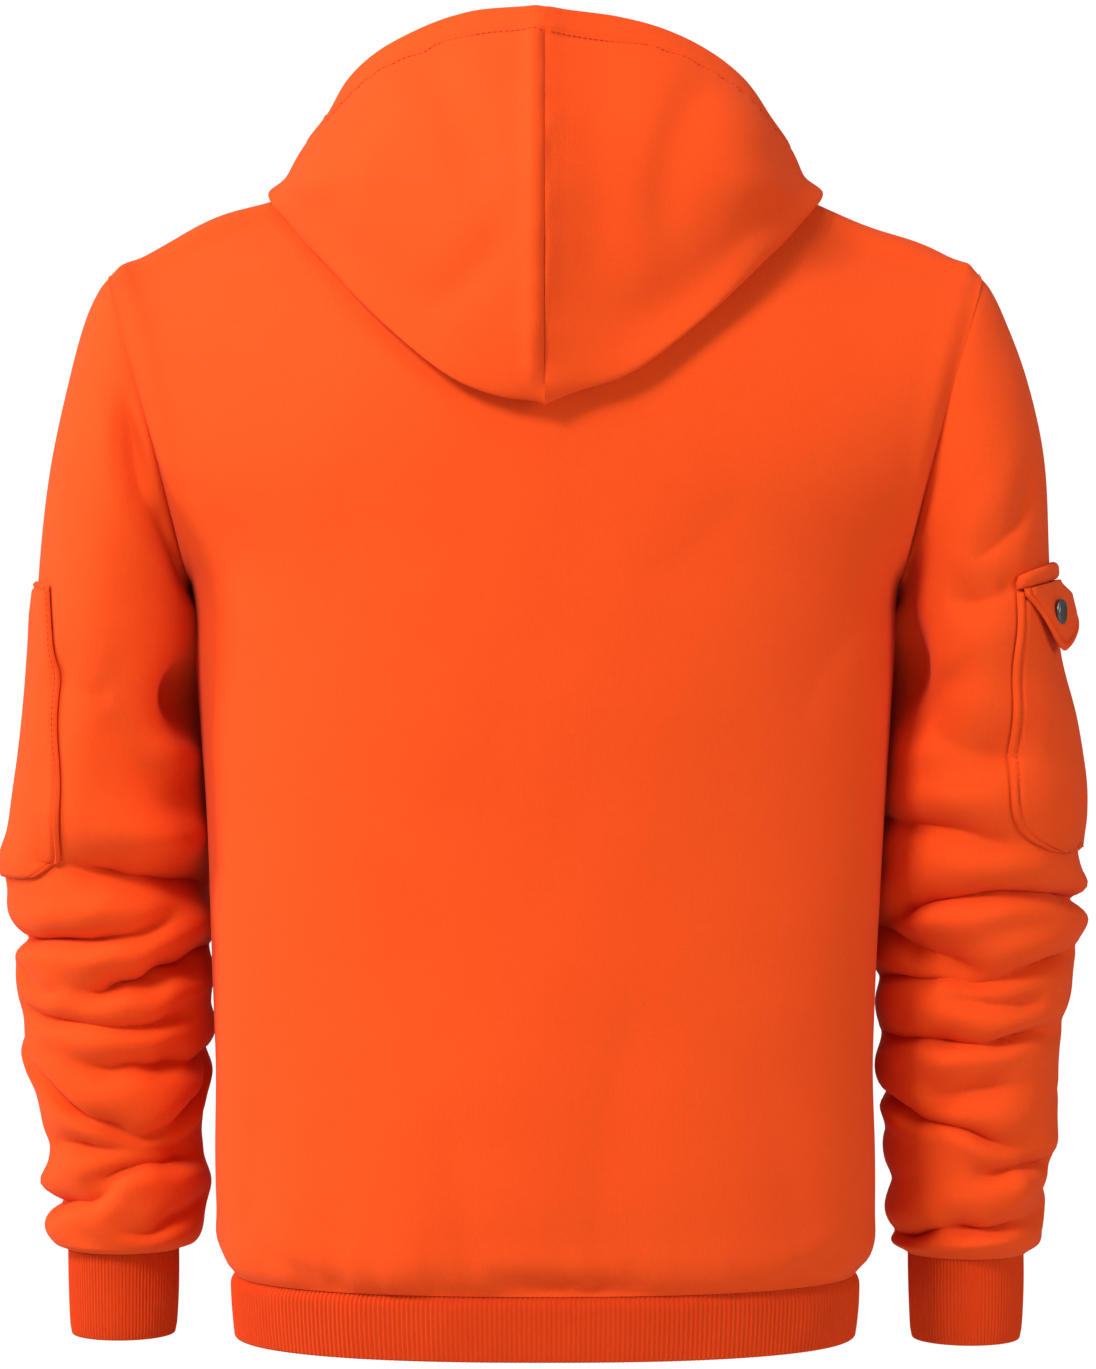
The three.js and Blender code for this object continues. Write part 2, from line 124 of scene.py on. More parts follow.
def creases(u, v, lines, period=0):
    """Depth of the listed creases, and how far the roll above each one droops over it.

    A line is [u, v, u, v, sag, depth, half width]; above it is the side of larger v.
    """
    depth = np.zeros(u.shape)
    droop = np.zeros(u.shape)
    for *line, deep, half in lines:
        for turn in (-period, 0, period) if period else (0,):
            along, off = beside_line(u + turn, v, *line)
            taper = smooth((along + 0.2) / 0.4) * smooth((1.2 - along) / 0.4)
            reach = np.where(off > 0, 1.7, 0.75) * half
            bend = np.sqrt((off / reach) ** 2 + 0.02) - 0.14
            roll = swell(off, 1.0, 2.2 * half, 1.2 * half) + swell(off, 0.6, -1.7 * half, half)
            depth += deep * taper * (np.exp(-1.3 * bend) - 0.3 * roll)
            above = np.maximum(off / half, 0)
            droop += 0.4 * deep * taper * above * np.exp(1 - above)
    return depth, droop


def soft_dents(u, v, lines):
    """Depth of the listed soft valleys, each [u, v, u, v, sag, depth, half width]."""
    depth = np.zeros(u.shape)
    for *line, deep, half in lines:
        along, off = beside_line(u, v, *line)
        taper = smooth((along + 0.35) / 0.5) * smooth((1.35 - along) / 0.5)
        depth += taper * swell(off, deep, 0, half)
    return depth


# ---- Meshes ----

def grid_normals(points, ring, out):
    """Unit normals of a grid of points; out is roughly the way out at its middle point."""
    if ring:
        across = np.roll(points, -1, 1) - np.roll(points, 1, 1)
    else:
        across = np.gradient(points, axis=1)
    normals = unit(np.cross(across, np.gradient(points, axis=0)))
    middle = normals[points.shape[0] // 2, points.shape[1] // 2]
    return normals if middle @ np.array(out, float) > 0 else -normals


def soften(points, times, ring=False):
    """Relax the inner points of a grid towards their neighbours."""
    p = points.copy()
    inner = (slice(1, -1), slice(None) if ring else slice(1, -1))
    for _ in range(times):
        down, across = (np.roll(p, 1, axis) + np.roll(p, -1, axis) for axis in (0, 1))
        p[inner] = ((down + across) / 4)[inner]
    return p


def run_lengths(points, axis):
    """Arc length from the first point along an axis of a grid."""
    steps = np.linalg.norm(np.diff(points, axis=axis), axis=-1)
    pad = [(0, 0), (0, 0)]
    pad[axis] = (1, 0)
    return np.pad(np.cumsum(steps, axis=axis), pad)


def linked(name, data):
    """A new object in the scene."""
    obj = bpy.data.objects.new(name, data)
    bpy.context.scene.collection.objects.link(obj)
    return obj


def mesh_object(name, verts, faces, material, corner_uv=None):
    """A smooth mesh that rides the root body; cloth also has the UV that its knit follows."""
    mesh = bpy.data.meshes.new(name)
    mesh.from_pydata((verts * MM).tolist(), [], faces)
    if corner_uv is not None:
        layer = mesh.uv_layers.new(name="grain")
        layer.data.foreach_set("uv", (corner_uv * MM).astype(np.float32).ravel())
    mesh.polygons.foreach_set("use_smooth", np.ones(len(mesh.polygons), bool))
    if corner_uv is not None:
        mesh.set_sharp_from_angle(angle=math.radians(62))
    mesh.materials.append(material)
    obj = linked(name, mesh)
    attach(obj, "root")
    return obj


def sheet(name, outer, normals, wall, material, ring=False, closing=None):
    """A closed sheet between the outer points and the same points one wall deeper.

    closing thins the wall towards its middle, from 1 on the cloth to about 0 at a round edge.
    """
    rows, cols = outer.shape[:2]
    wall = np.broadcast_to(np.asarray(wall, float), (rows, cols))[..., None]
    full = 1.0 if closing is None else closing[..., None]
    top = outer - normals * wall * (1 - full) / 2
    under = outer - normals * wall * (1 + full) / 2
    verts = np.concatenate([top.reshape(-1, 3), under.reshape(-1, 3)])
    spans = cols if ring else cols - 1
    closed = np.concatenate([outer, outer[:, :1]], axis=1) if ring else outer
    u = run_lengths(closed, 1).mean(axis=0)
    v = run_lengths(outer, 0).mean(axis=1)
    i, j = np.meshgrid(np.arange(rows - 1), np.arange(spans), indexing="ij")
    i, j = i.ravel(), j.ravel()

    def at(layer, row, col):
        return (layer * rows + row) * cols + col % cols

    def uv(row, col):
        return np.stack([u[col], v[row]], axis=-1)

    quads, uvs = [], []

    def add(corners, flip=False):
        corners = corners[::-1] if flip else corners
        quads.append(np.stack([at(*corner) for corner in corners], -1))
        uvs.append(np.stack([uv(row, col) for _, row, col in corners], 1))

    add([(0, i, j), (0, i, j + 1), (0, i + 1, j + 1), (0, i + 1, j)])
    add([(1, i, j), (1, i + 1, j), (1, i + 1, j + 1), (1, i, j + 1)])
    j = np.arange(spans)
    for row, flip in ((0, True), (rows - 1, False)):
        i = np.full(spans, row)
        add([(0, i, j), (0, i, j + 1), (1, i, j + 1), (1, i, j)], flip)
    if not ring:
        i = np.arange(rows - 1)
        for col, flip in ((0, False), (cols - 1, True)):
            j = np.full(rows - 1, col)
            add([(0, i, j), (0, i + 1, j), (1, i + 1, j), (1, i, j)], flip)
    quads = np.concatenate(quads)
    uvs = np.concatenate(uvs)
    across = outer[1, 1] - outer[1, 0]
    along = outer[1, 0] - outer[0, 0]
    if np.cross(across, along) @ normals[1, 0] < 0:
        quads = quads[:, ::-1]
        uvs = uvs[:, ::-1]
    return mesh_object(name, verts, quads.tolist(), material, uvs)


def edge_runs(points):
    """Lengths across and along a grid, and the distance from its nearest edge."""
    across, along = run_lengths(points, 1), run_lengths(points, 0)
    side = np.minimum(across, across[:, -1:] - across)
    return across, along, np.minimum(side, np.minimum(along, along[-1:] - along))


def round_edge(distance, wall):
    """Closing factor for a rolled edge, by distance from it."""
    f = clamp(distance / (wall / 2))
    return np.sqrt(np.maximum(1 - (1 - f) ** 2, 0.02))


def level_line(points, normals, distance, level):
    """Where a distance that shrinks down each column passes a level."""
    row = np.clip((distance > level).sum(axis=0) - 1, 0, len(distance) - 2)
    col = np.arange(distance.shape[1])
    above, below = distance[row, col], distance[row + 1, col]
    f = clamp((above - level) / np.maximum(above - below, 1e-6))[:, None]
    spot = mix(points[row, col], points[row + 1, col], f)
    out = unit(mix(normals[row, col], normals[row + 1, col], f))
    return spot + out * 0.15, out


def stitch_row(name, paths, pitch=3.4, length=2.5, radius=0.42):
    """Short threads along each path of (points, normals), joined in one mesh."""
    rings, around = 5, 6
    f = np.linspace(-1, 1, rings)
    plump = np.sqrt(np.maximum(1 - f**2, 0.03))
    turn = np.arange(around) * 2 * math.pi / around
    verts, quads = [], []
    for points, normals in paths:
        run = np.concatenate([[0], np.cumsum(np.linalg.norm(np.diff(points, axis=0), axis=1))])
        spots = np.arange(pitch / 2, run[-1] - pitch / 2, pitch)

        def at(spots, values):
            return np.stack([np.interp(spots, run, column) for column in values.T], -1)

        centre, out = at(spots, points), unit(at(spots, normals))
        way = unit(at(spots + 0.5, points) - centre)
        side = np.cross(way, out)
        for c, w, s, n in zip(centre, way, side, out):
            base = len(verts) * rings * around
            ring = np.cos(turn)[:, None] * s + np.sin(turn)[:, None] * n
            body = c + f[:, None, None] * w * length / 2 + plump[:, None, None] * ring * radius
            verts.append(body.reshape(-1, 3))
            for a in range(rings - 1):
                for b in range(around):
                    k = base + a * around + b
                    m = base + a * around + (b + 1) % around
                    quads.append([k, m, m + around, k + around])
            for a in (0, rings - 1):
                k = base + a * around
                caps = [[k, k + 5, k + 4, k + 3], [k, k + 3, k + 2, k + 1]]
                quads += caps if a == 0 else [cap[::-1] for cap in caps]
    verts = np.concatenate(verts)
    quads = np.array(quads)
    thread = mesh_object(name, verts, quads.tolist(), THREAD, np.zeros((len(quads), 4, 2)))


# ---- Materials ----

class Nodes:
    """The node tree of a material or a world, with short ways to add nodes and links."""

    def __init__(self, owner):
        self.owner = owner
        owner.use_nodes = True
        self.tree = owner.node_tree
        self.tree.nodes.clear()

    def add(self, kind, values=None, **settings):
        node = self.tree.nodes.new("ShaderNode" + kind)
        for key, value in settings.items():
            setattr(node, key, value)
        for key, value in (values or {}).items():
            socket = node.inputs[key]
            if isinstance(value, bpy.types.NodeSocket):
                self.tree.links.new(value, socket)
            else:
                socket.default_value = value
        return node

    def math(self, operation, a, b=0.0, c=0.0):
        return self.add("Math", {0: a, 1: b, 2: c}, operation=operation).outputs[0]

    def noise(self, where, scale, detail=2.0, roughness=0.5):
        values = {"Vector": where, "Scale": scale, "Detail": detail, "Roughness": roughness}
        return self.add("TexNoise", values).outputs["Fac"]

    def blend(self, amount, a, b):
        return self.add("Mix", {0: amount, 6: a, 7: b}, data_type="RGBA").outputs[2]

    def bump(self, height, distance, strength, below=None):
        values = {"Height": height, "Distance": distance, "Strength": strength}
        if below is not None:
            values["Normal"] = below
        return self.add("Bump", values).outputs["Normal"]

    def finish(self, values):
        shader = self.add("BsdfPrincipled", values)
        self.add("OutputMaterial", {"Surface": shader.outputs["BSDF"]})
        return self.owner


ORANGE = (0.80, 0.073, 0.0095, 1)
DEEP_ORANGE = (0.76, 0.064, 0.006, 1)
PALE_ORANGE = (0.84, 0.084, 0.014, 1)
RIB_DEEP, RIB_PALE = (0.6, 0.042, 0.004, 1), (0.68, 0.052, 0.006, 1)
THREAD_DEEP, THREAD_PALE = (0.6, 0.042, 0.005, 1), (0.72, 0.058, 0.007, 1)
GUNMETAL, WORN_GUNMETAL = (0.075, 0.078, 0.082, 1), (0.15, 0.15, 0.155, 1)


def knit_height(nodes, uv, wale, course):
    """Height of plain knit: columns of small V stitches, wale wide and course high."""
    apart = nodes.add("SeparateXYZ", {"Vector": uv})
    column = nodes.math("FRACT", nodes.math("DIVIDE", apart.outputs["X"], wale))
    away = nodes.math("ABSOLUTE", nodes.math("SUBTRACT", column, 0.5))
    row = nodes.math("DIVIDE", apart.outputs["Y"], course)
    leg = nodes.math("ADD", row, nodes.math("MULTIPLY", away, 1.3))
    wave = nodes.math("SINE", nodes.math("MULTIPLY", leg, 2 * math.pi))
    arch = nodes.math("SUBTRACT", 1.0, nodes.math("POWER", nodes.math("MULTIPLY", away, 2.0), 3.0))
    return nodes.math("ADD", nodes.math("MULTIPLY", wave, 0.35), arch)


def fleece_material(name):
    nodes = Nodes(bpy.data.materials.new(name))
    where = nodes.add("TexCoord")
    uv = where.outputs["UV"]
    place = where.outputs["Object"]
    cloudy = nodes.noise(place, 22.0, 3.0)
    flecks = nodes.noise(place, 900.0, 2.0, 0.6)
    colour = nodes.blend(nodes.math("MULTIPLY_ADD", cloudy, 0.9, -0.1), DEEP_ORANGE, ORANGE)
    colour = nodes.blend(nodes.math("MULTIPLY_ADD", flecks, 0.9, -0.2), colour, PALE_ORANGE)
    stitches = knit_height(nodes, uv, 0.00115, 0.0009)
    fuzz = nodes.noise(place, 1500.0, 3.0, 0.65)
    nap = nodes.noise(place, 260.0, 3.0, 0.6)
    bump = nodes.bump(nap, 0.0006, 0.22)
    bump = nodes.bump(stitches, 0.00018, 0.5, bump)
    bump = nodes.bump(fuzz, 0.00035, 0.4, bump)
    return nodes.finish({
        "Base Color": colour,
        "Roughness": 0.92,
        "Specular IOR Level": 0.1,
        "Sheen Weight": 0.06,
        "Sheen Roughness": 0.4,
        "Sheen Tint": (1.0, 0.62, 0.5, 1),
        "Normal": bump,
    })


def rib_material(name):
    nodes = Nodes(bpy.data.materials.new(name))
    where = nodes.add("TexCoord")
    place = where.outputs["Object"]
    stitches = knit_height(nodes, where.outputs["UV"], 0.0009, 0.0011)
    fuzz = nodes.noise(place, 1400.0, 3.0, 0.6)
    colour = nodes.blend(nodes.noise(place, 30.0, 3.0), RIB_DEEP, RIB_PALE)
    bump = nodes.bump(stitches, 0.0002, 0.5)
    bump = nodes.bump(fuzz, 0.0003, 0.35, bump)
    return nodes.finish({
        "Base Color": colour,
        "Roughness": 0.9,
        "Specular IOR Level": 0.1,
        "Sheen Weight": 0.05,
        "Sheen Roughness": 0.45,
        "Sheen Tint": (1.0, 0.7, 0.55, 1),
        "Normal": bump,
    })


def thread_material(name):
    nodes = Nodes(bpy.data.materials.new(name))
    place = nodes.add("TexCoord").outputs["Object"]
    ply = nodes.add("TexWave", {"Vector": place, "Scale": 900.0, "Distortion": 1.0}).outputs["Fac"]
    colour = nodes.blend(ply, THREAD_DEEP, THREAD_PALE)
    return nodes.finish({
        "Base Color": colour,
        "Roughness": 0.62,
        "Specular IOR Level": 0.3,
        "Normal": nodes.bump(ply, 0.0001, 0.4),
    })


def metal_material(name):
    nodes = Nodes(bpy.data.materials.new(name))
    place = nodes.add("TexCoord").outputs["Object"]
    scuffs = nodes.noise(place, 420.0, 4.0, 0.65)
    colour = nodes.blend(scuffs, GUNMETAL, WORN_GUNMETAL)
    rough = nodes.math("MULTIPLY_ADD", scuffs, 0.22, 0.26)
    return nodes.finish({
        "Base Color": colour,
        "Metallic": 0.9,
        "Roughness": rough,
        "Normal": nodes.bump(scuffs, 0.00004, 0.3),
    })


FLEECE = fleece_material("fleece")
RIB = rib_material("rib")
THREAD = thread_material("thread")
METAL = metal_material("gunmetal")

# ---- Body ----

HEM_TOP = -662.0
HEM_BOTTOM = -700.0
ARMPIT = -250.0
NECK_SHARE = 105 / 261  # how far along the shoulder line the neck starts
NECK_DROP = {1: 18.0, -1: 90.0}  # of the neck edge, behind and in front
ARM_X, ARM_LEAN, ARM_BOW, ARM_Z, ARM_TALL, ARM_DEEP = 237.0, 24.0, 4.0, -158.0, 92.0, 71.0

# Half width, depth behind and depth in front, by height.
body_size = through([
    [-662, 189, 121, 121],
    [-652, 193, 125, 126],
    [-636, 197, 129, 130],
    [-600, 198, 129, 131],
    [-540, 197, 126, 129],
    [-470, 199.5, 123, 127],
    [-400, 203, 123, 128],
    [-330, 208, 127, 132],
    [-250, 213, 130, 135],
    [-170, 214, 131, 136],
])

# Creases of the body: x z to x z, sag, depth, half width.
BACK_CREASES = [
    [-206, -262, -150, -330, 8, 1.6, 18],
    [206, -262, 160, -330, -8, 1.4, 18],
    [-150, -655, -118, -520, 5, 2.4, 30],
    [-30, -655, -52, -500, -6, 2.8, 34],
    [44, -655, 60, -560, 3, 1.8, 22],
    [120, -655, 132, -570, 3, 2.0, 24],
    [178, -640, 168, -560, 3, 2.0, 14],
    [-60, -250, -110, -205, 5, 1.2, 18],
    [70, -250, 120, -200, -5, 1.0, 18],
    [168, -638, 112, -657, 2, 3.2, 9],
    [26, -652, -40, -656, 1, 3.6, 7],
    [-136, -657, -178, -640, 0, 3.4, 8],
]
FRONT_CREASES = [
    [-206, -262, -110, -380, 10, 3.4, 16],
    [206, -262, 110, -380, -10, 3.4, 16],
    [-178, -330, -96, -470, 8, 2.2, 16],
    [178, -330, 96, -470, -8, 2.2, 16],
    [-150, -655, -120, -540, 5, 1.8, 14],
    [-38, -655, -30, -560, -4, 1.6, 14],
    [58, -655, 46, -550, 4, 1.8, 15],
    [160, -655, 140, -560, -4, 1.6, 13],
    [-70, -120, 0, -168, -10, 2.6, 13],
    [70, -120, 0, -168, 10, 2.6, 13],
]


def armhole_edge(climb):
    """The armhole edge by climb: 0 at the armpit, 1 at the top."""
    cos = 1 - 2 * clamp(climb)
    sin = np.sqrt(np.maximum(1 - cos * cos, 0))
    return ARM_X - ARM_LEAN * cos - ARM_BOW * sin * sin, ARM_DEEP * sin, ARM_Z - ARM_TALL * cos


def armhole_out(side, angle):
    """The armhole's own outward direction, shared by the body edge and the sleeve."""
    cos, sin = np.cos(angle) / 95, np.sin(angle) / ARM_DEEP
    size = math.hypot(ARM_LEAN, ARM_TALL)
    return unit(stack(side * ARM_LEAN / size * cos, sin, ARM_TALL / size * cos))


# Bumps of the shoulder line, and further down those of the body's surface: height, place, width.
LEFT_SHOULDER = [(5.5, 198, 30)]
RIGHT_SHOULDER = [(2.0, 228, 22), (-1.5, 190, 25)]
HEM_ROLL = (2.0, 17, 12)
HEM_TUCK = (-4.2, 0, 6)
ARMHOLE_RIDGE = (1.8, 11, 7)
ARMHOLE_TUCK = (-1.3, 0, 3)
SIDE_SEAM_TUCK = (-0.9, 0, 3)
SHOULDER_ROUND = (3.5, 14, 10)
PUCKER_HIGH, PUCKER_FADE = 1.3, 16.0
BODY_RATE, ARM_SHARE = 40, 0.62  # smoothing steps, and rows below the armpit


def crest(face, x):
    """Height of the crest over which the cloth turns from back to front."""
    r = np.abs(x)
    slope = -0.4 * (r - 105) - 3.6 * (np.maximum(r - 105, 0) / 156) ** 6
    top = np.where(r < 105, 21 - 0.2 * r * r / 105, slope)
    left = sum(swell(r, *bump) for bump in LEFT_SHOULDER)
    right = sum(swell(r, *bump) for bump in RIGHT_SHOULDER)
    top = top + np.where(x > 0, left, right)
    return top if face > 0 else top - 51 * (1 - smooth(r / 130))


def body_depth(face, x, z):
    """How far the body stands out from the plane of its side seams."""
    size = body_size(z)
    climb = (z - ARMPIT) / (2 * ARM_TALL)
    edge_x, edge_y, _ = armhole_edge(climb)
    edge_x = np.where(climb > 0, edge_x, size[0])
    edge_y = np.where(climb > 0, edge_y, 0)
    r = np.minimum(np.abs(x) / edge_x, 1)
    under = 1 - clamp((crest(face, x) - z) / 190)
    middle = size[1 if face > 0 else 2] * (1 - under * under) ** 0.714
    q = mix(2.4, 1.25, smooth(climb / 0.5))
    near_edge = mix(smooth(climb / 0.35), 1, r**14)
    return mix(edge_y * near_edge, middle, (1 - r**2.4) ** (1 / q))


def body_point(face, s, t):
    """Body surface: s across from -1 to 1, t up: 0 hem, 1 armpit, 2 shoulder and neck."""
    r = np.abs(s)
    low_z = mix(HEM_TOP + SEAM, ARMPIT, np.minimum(t, 1))
    edge_x, _, edge_z = armhole_edge((1 - np.cos(math.pi * np.maximum(t - 1, 0))) / 2)
    neck_z = -NECK_DROP[face] * clamp(1 - (r / NECK_SHARE) ** 2) ** 0.8
    top_z = np.where(r < NECK_SHARE, neck_z, crest(1, s * 261))
    high_z = edge_z + (top_z - (ARM_Z + ARM_TALL)) * np.maximum(t - 1, 0) ** 1.5
    z = np.where(t > 1, high_z, low_z)
    edge = np.where(t > 1, edge_x, body_size(low_z)[0])
    return stack(s * edge, face * (body_depth(face, s * edge, z) + SEAM), z)


def body_panel(name, face, lines, cols, rows):
    s = np.sin(np.linspace(-1, 1, cols) * math.pi / 2 * 0.86) / math.sin(math.pi / 2 * 0.86)
    low = int(rows * ARM_SHARE)
    t = np.concatenate([np.linspace(0, 1, low, endpoint=False), np.linspace(1, 2, rows - low)])
    s, t = np.meshgrid(s, t)
    points = soften(body_point(face, s, t), BODY_RATE)
    normals = grid_normals(points, False, (0, face, 0))
    x, z = points[..., 0], points[..., 2]
    depth, _ = creases(x, z, lines)
    soft = ripple(x, z, 5 + face, 260, 420) * 0.9 + ripple(x, z, 9 + face, 70, 130) * 0.18
    # Cloth gathered into the rib stands in small uneven puckers over it.
    up = z - HEM_TOP
    pucker = ripple(x, 0 * z, 31 + face, 60, 1) + 0.7 * ripple(x, 0 * z, 33 + face, 19, 1)
    pucker = pucker * PUCKER_HIGH * np.exp(-up / PUCKER_FADE) * smooth(up / 6)
    pucker += swell(up, *HEM_ROLL) + swell(up, *HEM_TUCK)
    # Beside the armhole the body edge is a soft ridge that rolls down into the seam.
    across = run_lengths(points, 1)
    edge = np.minimum(across, across[:, -1:] - across)
    arm = smooth((z - ARMPIT + 18) / 40)
    ridge = arm * (swell(edge, *ARMHOLE_RIDGE) + swell(edge, *ARMHOLE_TUCK))
    side_seam = (1 - arm) * swell(edge, *SIDE_SEAM_TUCK)
    # The shoulder rounds over its seam, out from under the hood.
    run = run_lengths(points, 0)
    under_crest = run[-1:] - run
    rounded = swell(under_crest, *SHOULDER_ROUND) * smooth(under_crest / 6)
    rounded *= smooth((np.abs(x) - 110) / 25) * smooth(edge / 14)
    ends = smooth(edge / 10) * smooth((2 - t) / 0.08) * smooth((up + 1) / 5)
    shift = (soft - depth) * ends + pucker + ridge + side_seam + rounded
    points = points + normals * shift[..., None]
    # The lower edge stays level, so it meets the rib.
    points[..., 2] -= swell(up, points[:1, :, 2] - (HEM_TOP + 0.1), 0, 8)
    shading = grid_normals(points, False, (0, face, 0))
    for column in (0, -1):
        side = math.copysign(1, x[0, column])
        rise = t[:, column][:, None]
        turned = armhole_out(side, math.pi * (2 - t[:, column]) * face)
        plain = np.broadcast_to(np.array([side, 0.0, 0.0]), turned.shape)
        mixed = unit(mix(plain, turned, smooth((rise - 1) / 0.5)))
        shading[:, column] = np.where(rise > 1, mixed, plain)
    shoulder = np.abs(s[-1]) >= NECK_SHARE
    top = stack(np.sign(s[-1]) * 0.37, 0.0, 0.93)
    shading[-1] = np.where(shoulder[:, None], unit(top), shading[-1])
    return sheet(name, points, shading, WALL, FLEECE)


# ---- Sleeves ----

# Down each sleeve: outer edge x z, inner edge x z, half depth, middle y.
LEFT_PATH = through([
    [0, 261.5, -66, 213.5, -250, 71, 0],
    [0.05, 273, -88, 213, -253, 74, 0],
    [0.12, 284, -126, 212.5, -257, 76, 0],
    [0.2, 296, -178, 211, -262, 77, -1],
    [0.29, 303, -238, 209.5, -270, 77, -4],
    [0.38, 306, -292, 208.5, -306, 76, -9],
    [0.48, 312, -352, 206.5, -360, 73, -17],
    [0.58, 320, -412, 203, -414, 70, -26],
    [0.68, 321, -468, 201.5, -468, 66, -33],
    [0.79, 316, -530, 202, -530, 61, -39],
    [0.89, 304, -588, 206, -588, 55, -43],
    [0.96, 304, -632, 207, -632, 50, -45],
    [0.985, 300, -649, 212, -649, 44, -45],
    [1, 292, -654.6, 222, -654.6, 37, -45],
])
RIGHT_PATH = through([
    [0, 261.5, -66, 213.5, -250, 71, 0],
    [0.05, 273, -88, 213, -253, 74, 0],
    [0.12, 287.5, -126, 212.5, -257, 76, 0],
    [0.2, 299, -178, 211, -262, 77, -1],
    [0.29, 303, -238, 209.5, -270, 77, -4],
    [0.38, 305, -292, 208.5, -306, 76, -9],
    [0.48, 320, -352, 206.5, -360, 73, -17],
    [0.58, 323, -412, 203, -414, 70, -26],
    [0.68, 322, -468, 201.5, -468, 66, -33],
    [0.79, 313, -530, 202, -530, 61, -39],
    [0.89, 312, -588, 206, -588, 55, -43],
    [0.96, 304, -632, 209, -632, 50, -45],
    [0.985, 300, -650, 213, -650, 44, -45],
    [1, 293, -657.6, 221, -657.6, 38, -45],
])

# Creases of the sleeves: degrees z to degrees z, sag, depth, half width.
# Degrees go round the sleeve: 0 outer side, 90 behind, 180 inner side, 270 in front.
LEFT_CREASES = [
    [80, -150, 156, -250, -10, 10, 7],
    [52, -300, 90, -320, -4, 5, 17],
    [88, -322, 146, -388, -5, 5, 14],
    [66, -418, 204, -430, 0, 24, 12],
    [4, -464, 128, -449, -3, 18, 6],
    [78, -490, 204, -466, 0, 24, 9],
    [26, -480, 60, -490, -6, 6, 4],
    [30, -508, 140, -510, -3, 16, 7],
    [74, -541, 200, -532, 0, 16, 8],
    [26, -544, 176, -548, -28, 17, 6],
    [34, -590, 156, -582, 0, 15, 7],
    [-20, -624, 82, -614, -6, 16, 6],
    [66, -606, 166, -596, 4, 15, 6],
    [96, -636, 170, -626, -3, 8, 6],
    [190, -440, 320, -432, 6, 9, 9],
    [200, -472, 345, -466, 0, 9, 8],
    [185, -500, 330, -502, 6, 9, 8],
    [205, -532, 350, -526, 0, 8, 8],
    [190, -562, 330, -560, 6, 8, 8],
    [200, -594, 345, -590, 0, 7, 7],
    [215, -622, 330, -618, 4, 6, 6],
]
RIGHT_CREASES = [
    [40, -190, 92, -236, -5, 6, 9],
    [148, -140, 158, -275, 0, 13, 13],
    [66, -252, 112, -264, -4, 6, 12],
    [150, -344, 104, -300, -4, 5, 10],
    [72, -354, 128, -338, -5, 6, 13],
    [80, -404, 204, -394, 6, 13, 9],
    [-4, -440, 170, -442, 9, 20, 7],
    [94, -474, 204, -450, 0, 22, 10],
    [4, -472, 196, -484, -5, 19, 7],
    [52, -498, 112, -496, 0, 12, 7],
    [36, -520, 204, -526, 0, 17, 7],
    [66, -550, 126, -555, 0, 10, 8],
    [58, -584, 196, -556, 0, 17, 6],
    [12, -600, 84, -602, 2, 16, 6],
    [24, -628, 184, -642, 0, 15, 6],
    [180, -456, 320, -448, 6, 9, 9],
    [200, -490, 345, -486, 0, 9, 8],
    [185, -520, 330, -518, 6, 9, 8],
    [205, -550, 350, -546, 0, 8, 8],
    [190, -580, 330, -576, 6, 8, 8],
    [200, -612, 345, -606, 0, 7, 7],
]
# Bulges where the cloth stands out: degrees, z, height, half width round and half height.
LEFT_BULGES = [
    [182, -274, 5, 26, 26],
    [192, -360, 4, 26, 70],
    [158, -320, -21, 22, 20],
    [146, -350, 4, 26, 10],
    [0, -422, 7, 34, 15],
    [0, -443, 4, 30, 8],
    [0, -468, -3, 25, 7],
    [0, -541, 5, 32, 15],
    [0, -612, 6, 26, 5],
    [180, -580, -3, 30, 18],
    [180, -613, 3, 26, 8],
    [70, -380, 4, 13, 30],
    [120, -398, 4, 30, 8],
]
RIGHT_BULGES = [
    [182, -274, 5, 26, 26],
    [192, -360, 4, 26, 70],
    [192, -440, 3, 26, 50],
    [158, -306, -19, 22, 27],
    [136, -348, 4, 28, 12],
    [0, -430, 10, 30, 7],
    [0, -450, 6, 28, 9],
    [0, -469, 6, 28, 8],
    [0, -613, -5, 26, 8],
    [180, -613, -5, 26, 8],
    [60, -606, 5, 9, 14],
    [120, -378, 4, 34, 12],
    [70, -286, 3, 22, 20],
    [42, -350, -4, 34, 18],
]
ROUND = 0.95  # millimetres round the sleeve for each degree, as the creases count it
SLEEVE_LONG = 590.0
SLEEVE_TUCK = (1.2, 0, 3.0)  # at the armhole seam: depth, place, width
CUFF_SAG = (4.5, 0.972, 0.016)  # cloth sinks over the cuff: drop, place along the sleeve, width
DEEPEST = 26.0  # crossing creases go no deeper than this


